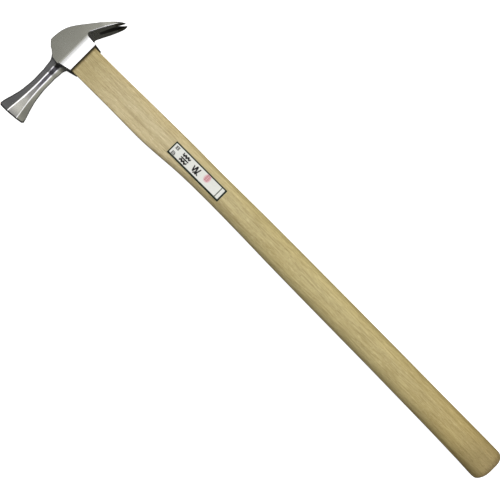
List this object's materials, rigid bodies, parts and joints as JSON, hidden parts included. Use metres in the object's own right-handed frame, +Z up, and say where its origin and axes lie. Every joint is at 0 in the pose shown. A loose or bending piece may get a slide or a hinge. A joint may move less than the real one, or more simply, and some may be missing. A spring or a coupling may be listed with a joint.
{
  "type": "claw hammer",
  "caption": "Carpenter's claw hammer: forged head with a slender octagonal flared poll, a straight V-slotted claw and a long tapering oak handle with a small paper label",
  "frame": {"origin": "middle of the whole tool's footprint as it lies on its side, level with the lower cheek of the head", "axes": "+X along the handle from the head to the butt, -Y the way the striking face looks, +Y the way the claw reaches, +Z up through both cheeks"},
  "size_m": [0.4496, 0.1072, 0.0226],
  "materials": {
    "forged_steel": "polished, faintly ground",
    "oak": "planed, dry, unvarnished white oak",
    "wedge_wood": "end grain",
    "wedge_steel": "dull, sheared",
    "label_paper": "printed paper, slightly glossy"
  },
  "bodies": {
    "root": {"head": "forged_steel", "handle": "oak", "wood_wedge": "wedge_wood", "steel_wedge_front": "wedge_steel", "steel_wedge_back": "wedge_steel", "label": "label_paper"}
  },
  "joints": []
}
